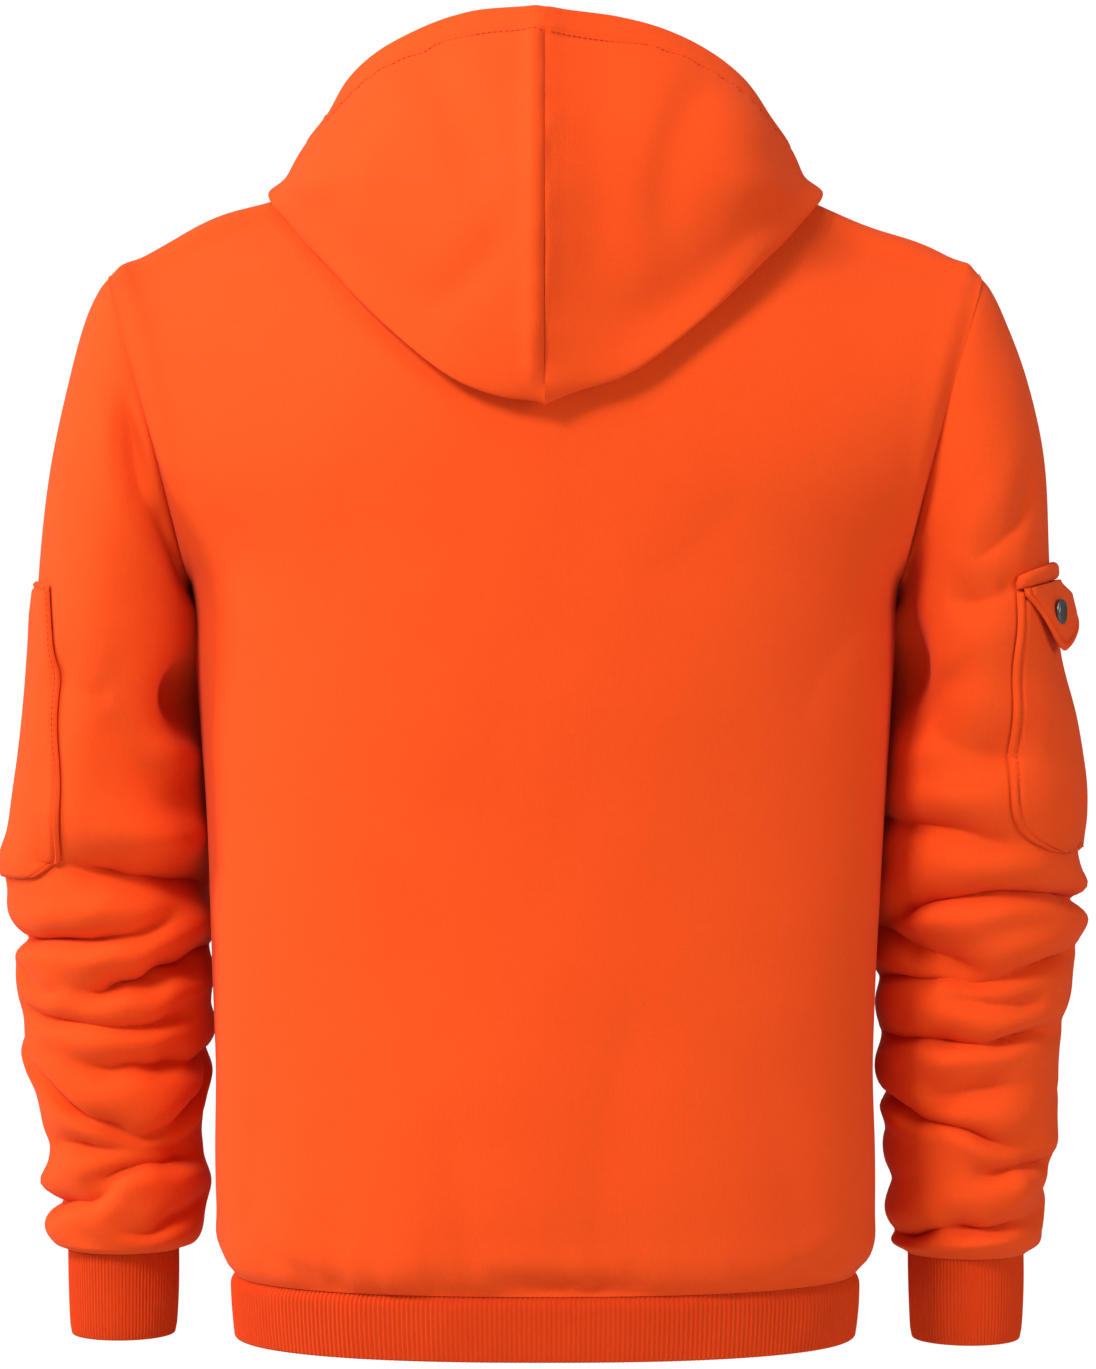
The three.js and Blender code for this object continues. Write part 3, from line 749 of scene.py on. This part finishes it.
class Arm:
    """One sleeve: its smooth form, its creases and its side, +1 left or -1 right."""

    def __init__(self, side, path, lines, bulges, seed):
        self.side, self.path, self.bulges, self.seed = side, path, bulges, seed
        self.lines = [[a * ROUND, z, b * ROUND, y, *rest] for a, z, b, y, *rest in lines]

    def point(self, t, angle):
        outer_x, outer_z, inner_x, inner_z, deep, mid_y = self.path(t)
        cos, sin = np.cos(angle), np.sin(angle)
        bow = ARM_BOW * (1 - smooth(t / 0.15)) * sin * sin
        x = mix(inner_x, outer_x, (1 + cos) / 2) - bow
        z = mix(inner_z, outer_z, (1 + cos) / 2)
        high = np.hypot(outer_x - inner_x, outer_z - inner_z) / 2
        lean_x, lean_z = (outer_x - inner_x) / (2 * high), (outer_z - inner_z) / (2 * high)
        way = unit(stack(lean_x * cos / high, sin / deep, lean_z * cos / high))
        p = stack(x, mid_y + deep * sin, z)
        round_mm = np.degrees(angle) * ROUND
        low = smooth((t - 0.6) / 0.1)
        wavy = np.cos(angle) * 60, np.sin(angle) * 60
        drift = ripple(wavy[0] + 0.5 * wavy[1], z, self.seed + 2, 75, 60) * 2.4 * mix(0.4, 1, low)
        depth, droop = creases(round_mm, z + drift, self.lines, 360 * ROUND)
        depth = depth * (1 + 0.22 * ripple(wavy[0], 0.5 * z + wavy[1], self.seed + 3, 60, 45))
        ends = smooth(t / 0.05) * smooth((1 - t) / 0.02)
        # Under the arm the sleeve lies against the body, so it has no creases there.
        away = (np.degrees(angle) % 360 - mix(190, 204, smooth((-270 - z) / 50))) / 34
        held = swell(away, 1.0, 0, 1) * smooth((0.84 - t) / 0.08)
        capped = DEEPEST * np.tanh(depth / DEEPEST) * (1 - 0.95 * held)
        depth = np.where(depth > 0, capped, depth) * ends
        for at_degrees, at_z, high_mm, wide, tall in self.bulges:
            turn = (np.degrees(angle) - at_degrees + 180) % 360 - 180
            depth = depth - swell(turn * ROUND, high_mm, 0, wide) * swell(z, 1.0, at_z, tall)
        soft = ripple(wavy[0] + 0.3 * wavy[1], z, self.seed, 220, 190) * 0.8
        small = ripple(wavy[0], z + 0.4 * wavy[1], self.seed + 1, 110, 30) * 0.9 * low
        groove = swell(t * SLEEVE_LONG, *SLEEVE_TUCK)
        sag = swell(t, *CUFF_SAG) * smooth((t - 0.9) / 0.05)
        p = p + way * ((soft + small) * ends - depth - groove)[..., None]
        p[..., 2] -= droop * ends + sag
        p[..., 0] -= 1.3 * (1 - smooth(t / 0.02))
        p[..., 0] *= self.side
        return p

    def patch(self, t, angle):
        """Points and normals of the sleeve on a grid of t and angle."""
        step = 0.004
        p = self.point(t, angle)
        down = self.point(t + step, angle) - self.point(t - step, angle)
        across = self.point(t, angle + step * 5) - self.point(t, angle - step * 5)
        n = unit(np.cross(across, down)) * -self.side
        return p, n


LEFT = Arm(1, LEFT_PATH, LEFT_CREASES, LEFT_BULGES, 41)
RIGHT = Arm(-1, RIGHT_PATH, RIGHT_CREASES, RIGHT_BULGES, 57)


def sleeve(name, arm, rows=236, cols=132):
    fine = 26
    t, angle = np.meshgrid(
        np.append(np.linspace(0, 0.95, rows - fine, endpoint=False), np.linspace(0.95, 1, fine)),
        np.arange(cols) * 2 * math.pi / cols,
        indexing="ij",
    )
    points = arm.point(t, angle)
    points[1:-1] = soften(points, 2, ring=True)[1:-1]
    normals = grid_normals(points, True, (-arm.side, 0, 0))
    turned = armhole_out(arm.side, angle[0])
    normals[0] = unit(mix(normals[0], turned, smooth(1 + np.cos(angle[0]))[:, None]))
    return sheet(name, points, normals, WALL, FLEECE, ring=True)


# ---- Ribs ----

def ribbed(name, outline, top, bottom, ribs, seed, tuck=0.0, high=0.42, rows=17, fine=6):
    """A ribbed tube: outline(angle, f) gives x and y at height share f from its top."""
    angle = np.linspace(0, 2 * math.pi, 721)
    x, y = outline(angle, 0)
    run = np.concatenate([[0], np.cumsum(np.hypot(np.diff(x), np.diff(y)))])
    share = np.arange(ribs * fine) / (ribs * fine)
    angle = np.interp(share * run[-1], run, angle)
    edge = RIB_WALL / 2
    height = top - bottom
    above = (1 - edge / height) * np.linspace(0, 1, rows) ** 1.6
    f = np.concatenate([above, 1 - edge / height * (1 - np.linspace(0.2, 1, 5))])
    f, angle = np.meshgrid(f, angle, indexing="ij")
    x, y = outline(angle, f)
    wave = ripple(x, y, seed, 90, 90) * 0.5 * np.sin(f * math.pi)
    points = stack(x, y, mix(top, bottom, f))
    normals = grid_normals(points, True, (-1, 0, 0))
    ridge = np.cos(share * ribs * 2 * math.pi)
    ridge = np.sign(ridge) * np.abs(ridge) ** 0.7 * high
    rolled = round_edge((1 - f) * height, RIB_WALL)
    wave = wave - swell(f * height, tuck, 0, 3.0)
    points = points + normals * (ridge[None] * (0.35 + 0.65 * rolled) - high + wave)[..., None]
    return sheet(name, points, normals, RIB_WALL - high, RIB, ring=True, closing=rolled)


def hem_outline(angle, f):
    half = mix(188, 185.5, f * f)
    cos, sin = np.cos(angle), np.sin(angle)
    x = half * np.sign(cos) * np.abs(cos) ** (2 / 2.4)
    return x, (half - 68) * np.sign(sin) * np.abs(sin) ** (2 / 2.4)


def cuff_outline(side, outer_x, inner_x, deep):
    middle, half = (outer_x + inner_x) / 2, (outer_x - inner_x) / 2

    def outline(angle, f):
        size = 1 - 0.05 * f * f - 0.02 * smooth((f - 0.85) / 0.15)
        return side * middle + half * size * np.cos(angle), -45 + deep * size * np.sin(angle)

    return outline


# ---- Pockets ----

POCKET_TOP = 0.309  # along the sleeve, as are the band's and the pockets' bottom edges
POCKET_TALL = 172.0
BAND_TOP, BAND_BOTTOM = 0.29, 0.307
# The pockets' back edges, in degrees round the sleeve, by how far down the pocket.
LEFT_POCKET_BACK = [[0, 44], [0.4, 56], [0.75, 67], [1, 60]]
RIGHT_POCKET_BACK = [[0, 65], [0.4, 74], [0.7, 81], [1, 80]]


def pocket(name, arm, front, back, bottom, corner, inset):
    """A patch pocket between two edge angles that may change down it, its edges turned in."""
    f = np.linspace(0, 1, 96)[:, None]
    g = np.linspace(0, 1, 84)[None, :]
    lower = np.maximum(f * POCKET_TALL - (POCKET_TALL - corner), 0) / corner
    cut = corner * (1 - np.sqrt(np.maximum(1 - lower**2, 0)))
    left = np.radians(front + 0 * f + cut / ROUND)
    right = np.radians(through(back)(f[:, 0])[0][:, None] - cut / ROUND)
    t = mix(POCKET_TOP, bottom, f) + 0 * g
    angle = mix(left, right, g)
    base, normals = arm.patch(t, angle)
    across, along, edge = edge_runs(base)
    puff = 1.2 * smooth(edge / 2.5) - swell(edge, 1.6, inset, 1.1) + 1.2 * smooth((edge - inset) / 20)
    points = base + normals * (LIFT + POCKET_WALL + puff)[..., None]
    obj = sheet(name, points, normals, POCKET_WALL, FLEECE, closing=round_edge(edge, POCKET_WALL))
    middle = along.shape[1] // 2
    keep = along[:, middle] < along[-1, middle] - corner * 0.8
    flipped = [points[keep].swapaxes(0, 1), normals[keep].swapaxes(0, 1)]
    to_back = (across[:, -1:] - across)[keep].T
    to_front = across[keep].T[::-1]
    paths = [
        level_line(*flipped, to_back, inset),
        level_line(flipped[0][::-1], flipped[1][::-1], to_front, inset),
        level_line(points[:, 8:-8], normals[:, 8:-8], (along[-1:] - along)[:, 8:-8], inset),
    ]
    stitch_row(name + "_stitches", paths)
    return obj


def flap_band(name, arm):
    """The rolled band over the right pocket."""
    f = np.linspace(0, 1, 26)[:, None]
    g = np.linspace(0, 1, 120)[None, :]
    t, degrees = np.broadcast_arrays(mix(BAND_TOP, BAND_BOTTOM, f), mix(-40, 65, g))
    base, normals = arm.patch(t, np.radians(degrees))
    across, along, edge = edge_runs(base)
    puff = 0.9 * smooth(edge / 4) + 0.25 * ripple(across, along, 12, 30, 60)
    points = base + normals * (LIFT + BAND_WALL + puff)[..., None]
    return sheet(name, points, normals, BAND_WALL, FLEECE, closing=round_edge(edge, BAND_WALL))


# How far the flap hangs, by degrees round the sleeve.
flap_drop = through([
    [-30, 4], [-10, 12], [8, 24], [20, 34], [30, 40.5], [37, 42], [44, 35], [53, 19], [62, 5],
])
SNAP_DEGREES, SNAP_DROP = 36.0, 18.0
FLAP_CURL = (1.6, 30, 14)  # how far it lifts: height, degrees, width
FLAP_ARCH = (6.0, 8, 20)
FLAP_INSET = 5.0


def flap_surface(arm, degrees, drop):
    """Outer face of the flap: it hangs from the band and stands off the pocket."""
    t = POCKET_TOP - 0.002 + drop / SLEEVE_LONG
    base, normals = arm.patch(t, np.radians(degrees))
    rest = 2 * (LIFT + POCKET_WALL) + 0.6
    curl = 5.5 * smooth(drop / 34) + swell(degrees, *FLAP_CURL) * smooth(drop / 20)
    arch = swell(degrees, *FLAP_ARCH) * smooth(drop / 9)
    pinch = 1.4 * np.exp(-((degrees - SNAP_DEGREES) ** 2 / 70 + (drop - SNAP_DROP) ** 2 / 50))
    return base + normals * (rest + curl + arch - pinch)[..., None], normals


def pocket_flap(name, arm):
    f = np.linspace(0, 1, 40)[:, None]
    degrees = mix(-30, 62, np.linspace(0, 1, 100))[None, :] + 0 * f
    drop = f * flap_drop(degrees[0])[0][None, :]
    points, normals = flap_surface(arm, degrees, drop)
    across = run_lengths(points, 1)
    along = run_lengths(points, 0)
    edge = np.minimum(np.minimum(across, across[:, -1:] - across), along[-1:] - along)
    puff = 1.1 * smooth(edge / 3.0) - swell(edge, 1.7, FLAP_INSET, 1.2)
    points = points + normals * puff[..., None]
    flap = sheet(name, points, normals, POCKET_WALL, FLEECE, closing=round_edge(edge, POCKET_WALL))
    long = along[-1] > FLAP_INSET + 2
    to_edge = (along[-1:] - along)[:, long]
    path = level_line(points[:, long], normals[:, long], to_edge, FLAP_INSET)
    stitch_row(name + "_stitches", [path])
    return flap


SNAP_LIFT = 0.7
# Radius and height round the snap's cap, from its dished middle over the rolled rim.
SNAP_PROFILE = [
    [0, 2.2], [2.6, 2.3], [4.4, 2.5], [5.3, 2.9], [6.0, 3.2], [6.8, 3.1],
    [7.5, 2.6], [7.9, 1.9], [8, 1.2], [7.8, 0.5], [7.2, 0.1], [6, 0], [0, 0],
]


def snap_cap(name, arm, sides=64):
    """A dished metal cap with a rolled rim, seated on the flap."""
    one = np.array([[SNAP_DEGREES]]), np.array([[SNAP_DROP]])
    seat, out = (v[0, 0] for v in flap_surface(arm, *one))
    across = unit(np.cross(out, [0.0, 0.0, 1.0]))
    up = np.cross(across, out)
    profile = np.array(SNAP_PROFILE)
    radius, height = profile[1:-1].T
    turn = np.arange(sides) * 2 * math.pi / sides
    spoke = np.cos(turn)[:, None] * across + np.sin(turn)[:, None] * up
    body = seat + radius[:, None, None] * spoke + (height + SNAP_LIFT)[:, None, None] * out
    ends = [seat + out * (profile[0, 1] + SNAP_LIFT), seat + out * SNAP_LIFT]
    verts = np.concatenate([body.reshape(-1, 3), ends])
    rings = len(radius)
    faces = []
    for k in range(sides):
        n = (k + 1) % sides
        faces.append([rings * sides, k, n])
        for r in range(rings - 1):
            faces.append([r * sides + k, (r + 1) * sides + k, (r + 1) * sides + n, r * sides + n])
        faces.append([rings * sides + 1, (rings - 1) * sides + n, (rings - 1) * sides + k])
    return mesh_object(name, verts, faces, METAL)


# ---- Hood ----

# Stations go by angle round the neck: 0 at the throat, 90 at the shoulder, 180 behind.
# The fold has x and z, and the rim has x, y and z.
fold_line = through([
    [0, 1, -97],
    [30, 50, -88],
    [60, 112, -56],
    [90, 158, -22],
    [110, 150, -40],
    [130, 124, -70],
    [150, 85, -106],
    [165, 46, -134],
    [180, 0, -147],
])
rim_line = through([
    [0, 1, -90, -78],
    [30, 58, -80, -48],
    [60, 112, -42, -8],
    [90, 135, 8, 17],
    [110, 128, 36, 33],
    [130, 112, 58, 50],
    [148, 82, 75, 67],
    [165, 43, 86, 78.5],
    [180, 0, 90, 81],
])
HEM_BAND = 19.0  # stitched hem round the face opening
HEM_WALL = 4.6
# Swellings of the hood, each with its height, place and width.
FOLD = (1.0, 0.56, 0.11)  # along the section, where it sags
WING = (12.0, 132, 30)  # out from the middle, beside each shoulder
RIGHT_WING = (7.0, 122, 28)
EAR = (4.0, -22, 13)  # by height, at each outer corner
WAIST = {1: (-5.5, 18, 26), -1: (1.0, 18, 26)}
SEAM_RIDGE = (2.4, 7, 5)  # the left panel's roll beside the middle seam
FOLD_DROP = {1: 6.0, -1: 1.0}
SEAM_DROP = 3.5
MIDDLE_OUT, MIDDLE_FADE = 16.0, 46.0
RIGHT_FALL = 13.0


def off_body(face, x, z, off):
    """A point that stands off the body surface at x and z."""
    ridge = crest(face, x)

    def depth(dx, dz):
        return body_depth(face, x + dx, np.minimum(z + dz, ridge))

    n = stack(depth(-1, 0) - depth(1, 0), face * 2.0, depth(0, -1) - depth(0, 1))
    return stack(x, face * (depth(0, 0) + SEAM), z) + unit(n) * np.asarray(off)[..., None]


def hood_sections(degrees):
    """Controls of the hood's sections, from the neck seam round the fold and up to the rim."""
    turn = np.minimum(degrees, 180 - degrees) / 90
    behind = smooth((degrees - 60) / 110)
    to_back = smooth((degrees - 80) / 20)[:, None]
    s = NECK_SHARE * np.sin(np.radians(degrees))
    two = np.full_like(s, 2.0)
    neck = mix(body_point(-1, s, two), body_point(1, s, two), to_back)
    fold_x, fold_z = fold_line(degrees)

    def along(f, off):
        x, z = mix(neck[:, 0], fold_x, f), mix(neck[:, 2], fold_z, f)
        off = np.broadcast_to(off, x.shape)
        return mix(off_body(-1, x, z, off), off_body(1, x, z, off), to_back)

    out = stack(np.sin(np.radians(degrees)), -np.cos(np.radians(degrees)), 0)
    up = np.array([0.0, 0.0, 1.0])
    rim = np.moveaxis(rim_line(degrees), 0, -1)
    start = along(0.86, mix(12, 18, behind))
    bulge = (3 + 22 * smooth((degrees - 105) / 65) + 12 * smooth((80 - degrees) / 40))[:, None]
    puff = unit(out + up * 0.8 * (1 - behind)[:, None])
    high = (mix(3, 8, behind) + 7 * turn * (1 - behind))[:, None]
    return np.stack([
        neck + up * 2.5,
        neck + up * high + out,
        along(0.3, mix(11, 13, behind)),
        along(0.62, 8.5),
        along(0.9, 6.0),
        along(1.03, mix(8.5, 10.5, behind)),
        start,
        mix(start, rim, 0.3) + puff * bulge * 0.8,
        mix(start, rim, 0.65) + puff * bulge,
        rim,
    ])


def spline(controls, f):
    """Points at shares f of smooth curves through controls, for each section."""
    slopes = np.gradient(controls, axis=0)
    at = f * (len(controls) - 1)
    i = np.clip(at.astype(int), 0, len(controls) - 2)
    g = (at - i)[:, None, None]
    return hermite(controls[i], controls[i + 1], slopes[i], slopes[i + 1], g)


# Soft dents of the hood panels: x z to x z from the seam outward, sag, depth, half width.
LEFT_DENTS = [
    [72, 52, 40, -24, -4, 4.0, 15],
    [26, -60, 62, -96, -3, 3.0, 12],
    [104, 20, 120, -30, 3, 3.5, 14],
]
RIGHT_DENTS = [
    [34, 62, 30, -84, 4, 6.0, 26],
    [88, 30, 70, -50, -5, 4.0, 14],
]


def hood_form(side, degrees, f):
    """Outer points of one panel, before its seams, hem and dents."""
    p = soften(spline(hood_sections(degrees), f), 10)
    f = f[:, None]
    fold = swell(f, *FOLD) * smooth((degrees - 115) / 45)
    p[..., 2] -= fold * mix(SEAM_DROP, FOLD_DROP[side], smooth(p[..., 0] / 25))
    middle_out = np.exp(-p[..., 0] / MIDDLE_FADE) * smooth((f - 0.52) / 0.2)
    p[..., 1] += MIDDLE_OUT * middle_out * mix(1, 0.3, smooth((f - 0.8) / 0.2))
    wing = swell(p[..., 0], *WING) * smooth((degrees - 90) / 30)
    p[..., 1] += wing * smooth((f - 0.52) / 0.15) * smooth((1 - f) / 0.2)
    if side < 0:
        # The right panel falls away from the middle seam, then stays flat out to its wing.
        fall = swell(p[..., 0], *RIGHT_WING) - RIGHT_FALL * (1 - np.exp(-p[..., 0] / MIDDLE_FADE))
        p[..., 1] += fall * smooth((f - 0.56) / 0.15) * smooth((degrees - 95) / 25)
    outward = smooth((p[..., 0] - 70) / 60)
    p[..., 0] += outward * (swell(p[..., 2], *EAR) + swell(p[..., 2], *WAIST[side]))
    p[..., 0] = np.maximum(p[..., 0], 0.0) * side
    return p


def hood_panel(name, side):
    """One panel of the hood, and the line of its hem stitches."""
    degrees = np.concatenate([np.linspace(0, 160, 84, endpoint=False), np.linspace(160, 180, 34)])
    f = np.concatenate([np.linspace(0, 0.97, 104, endpoint=False), np.linspace(0.97, 1, 12)])
    points = hood_form(side, degrees, f)
    f = f[:, None]
    normals = grid_normals(points, False, (side, 0, 0))
    x, z = np.abs(points[..., 0]), points[..., 2]
    run = run_lengths(points, 0)
    from_rim = run[-1:] - run
    shown = smooth((f - 0.6) / 0.1)
    beside = smooth(x / 4)  # both panels' edges keep together at the seam
    wobble = ripple(z, 0 * z, 71 + side, 21, 1) * 1.1 * np.exp(-x / 14) * shown * beside
    groove = mix(4.0, 7.5, smooth((40 - z) / 120))
    if side > 0:
        seam = np.exp(-x / 2.2) * groove - swell(x, *SEAM_RIDGE) * beside
    else:
        seam = np.exp(-x / 3.0) * groove + 5.0 * (np.exp(-x / 12) - np.exp(-x / 3.0))
    seam *= smooth((f - 0.6) / 0.06) * mix(0.2, 1, smooth((from_rim - HEM_BAND + 3) / 6))
    seam *= smooth((degrees - 120) / 30)
    hem = 0.9 * smooth((HEM_BAND - from_rim) / 1.6) - swell(from_rim, 1.1, HEM_BAND, 1.5)
    hem *= smooth((degrees - 85) / 25)
    soft = ripple(x * side, z, 77, 150, 130) * 1.3 * shown * smooth((178 - degrees) / 20)
    depth = soft_dents(x, z, LEFT_DENTS if side > 0 else RIGHT_DENTS)
    depth = depth * shown * smooth((degrees - 95) / 20) * smooth(x / 14)
    shift = normals * (soft + hem + wobble - seam - depth)[..., None]
    shift[..., 0] *= smooth(x / 8)
    points = points + shift
    shading = grid_normals(points, False, (side, 0, 0))
    shading[:, -1, 0] = 0
    shading[:, 0, 0] *= 0.2
    shading = unit(shading)
    wall = mix(WALL, HEM_WALL, smooth((HEM_BAND - from_rim) / 2) * smooth((degrees - 95) / 30))
    obj = sheet(name, points, shading, wall, FLEECE, closing=round_edge(from_rim, wall))
    behind = degrees > 104
    return obj, level_line(points[:, behind], shading[:, behind], from_rim[:, behind], HEM_BAND)


# ---- The garment ----

def declare(node):
    """Hide the solid that a sheet replaces."""
    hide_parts(node)


back = body_panel("Back", 1, BACK_CREASES, 150, 196)
front = body_panel("Front", -1, FRONT_CREASES, 120, 150)
declare("back_panel")
declare("front_panel")

sleeve_left = sleeve("Sleeve_left", LEFT)
sleeve_right = sleeve("Sleeve_right", RIGHT)
declare("sleeve_left")
declare("sleeve_right")

left_round = cuff_outline(1, 291, 223.5, 36)
right_round = cuff_outline(-1, 292, 221.5, 37)
hem = ribbed("Hem_rib", hem_outline, HEM_TOP - SEAM, HEM_BOTTOM, 356, 3, tuck=3.0)
cuff_left = ribbed("Cuff_left", left_round, -655.2, -707.5, 100, 5, high=0.34)
cuff_right = ribbed("Cuff_right", right_round, -658.2, -710.5, 102, 7, high=0.34)
declare("hem_rib")
declare("cuff_left")
declare("cuff_right")

hood_left, rim_left = hood_panel("Hood_left", 1)
hood_right, rim_right = hood_panel("Hood_right", -1)
stitch_row("Hood_hem_stitches", [rim_left, rim_right])
declare("hood_left")
declare("hood_right")

pocket_left = pocket("Pocket_left", LEFT, -60, LEFT_POCKET_BACK, 0.606, 20, 3.4)
pocket_right = pocket("Pocket_right", RIGHT, -40, RIGHT_POCKET_BACK, 0.576, 38, 5.0)
band = flap_band("Flap_band", RIGHT)
flap = pocket_flap("Pocket_flap", RIGHT)
snap = snap_cap("Snap_cap", RIGHT)
declare("pocket_left")
declare("pocket_right")
declare("flap_band_right")
declare("pocket_flap_right")
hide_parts("snap_cap")

# ---- Stage ----

CAMERA_AWAY, CAMERA_X, CAMERA_Z = 2.5, -0.0018, -0.3117
FILM_HEIGHT, LENS = 36.0, 109.6
FLOOR_RADIUS, FLOOR_Z = 4.2, -1.5
AIM = (0, 0, -0.35)
# Name, place, watts and size of each lamp.
LAMPS = (
    ("Key", (1.7, 2.2, 1.7), 92, 0.8),
    ("Left", (3.2, 0.2, 0.6), 76, 0.8),
    ("Top", (0.3, 1.3, 2.7), 22, 1.0),
    ("Fill", (-2.4, 2.3, 0.2), 38, 1.4),
)


def stage():
    grey = Nodes(bpy.data.materials.new("floor"))
    grey = grey.finish({"Base Color": (0.72, 0.72, 0.72, 1), "Roughness": 0.85})
    bpy.ops.mesh.primitive_circle_add(
        vertices=96, radius=FLOOR_RADIUS, fill_type="NGON", location=(0, 0, FLOOR_Z)
    )
    floor = bpy.context.object
    floor.name = "Floor"
    floor.data.materials.append(grey)

    # The studio is brighter overhead, and white straight behind the garment.
    world = bpy.data.worlds.new("studio")
    bpy.context.scene.world = world
    nodes = Nodes(world)
    where = nodes.add("TexCoord").outputs["Generated"]

    def gradient(way, start, end, low, high):
        facing = nodes.add("VectorMath", {0: where, 1: way}, operation="DOT_PRODUCT").outputs["Value"]
        values = {"Value": facing, "From Min": start, "From Max": end, "To Min": low, "To Max": high}
        return nodes.add("MapRange", values, interpolation_type="SMOOTHSTEP").outputs["Result"]

    overhead = gradient((0, 0, 1), -0.5, 0.9, 0.2, 0.32)
    behind = gradient((0, -1, 0), 0.88, 0.968, 0.2, 1.06)
    values = {"Color": (1, 1, 1, 1), "Strength": nodes.math("MAXIMUM", overhead, behind)}
    nodes.add("OutputWorld", {"Surface": nodes.add("Background", values).outputs["Background"]})

    for name, place, power, size in LAMPS:
        light = linked(name, bpy.data.lights.new(name, "AREA"))
        light.data.energy = power
        light.data.size = size
        light.location = place
        aim = np.array(AIM) - np.array(place)
        light.rotation_euler = (
            math.atan2(math.hypot(aim[0], aim[1]), -aim[2]),
            0,
            math.atan2(aim[1], aim[0]) - math.pi / 2,
        )

    camera = linked("Camera", bpy.data.cameras.new("Camera"))
    camera.data.sensor_fit = "VERTICAL"
    camera.data.sensor_height = FILM_HEIGHT
    camera.data.lens = LENS
    camera.location = (CAMERA_X, CAMERA_AWAY, CAMERA_Z)
    camera.rotation_euler = (math.pi / 2, 0, math.pi)
    bpy.context.scene.camera = camera
    bpy.context.scene.view_settings.view_transform = "Standard"


stage()
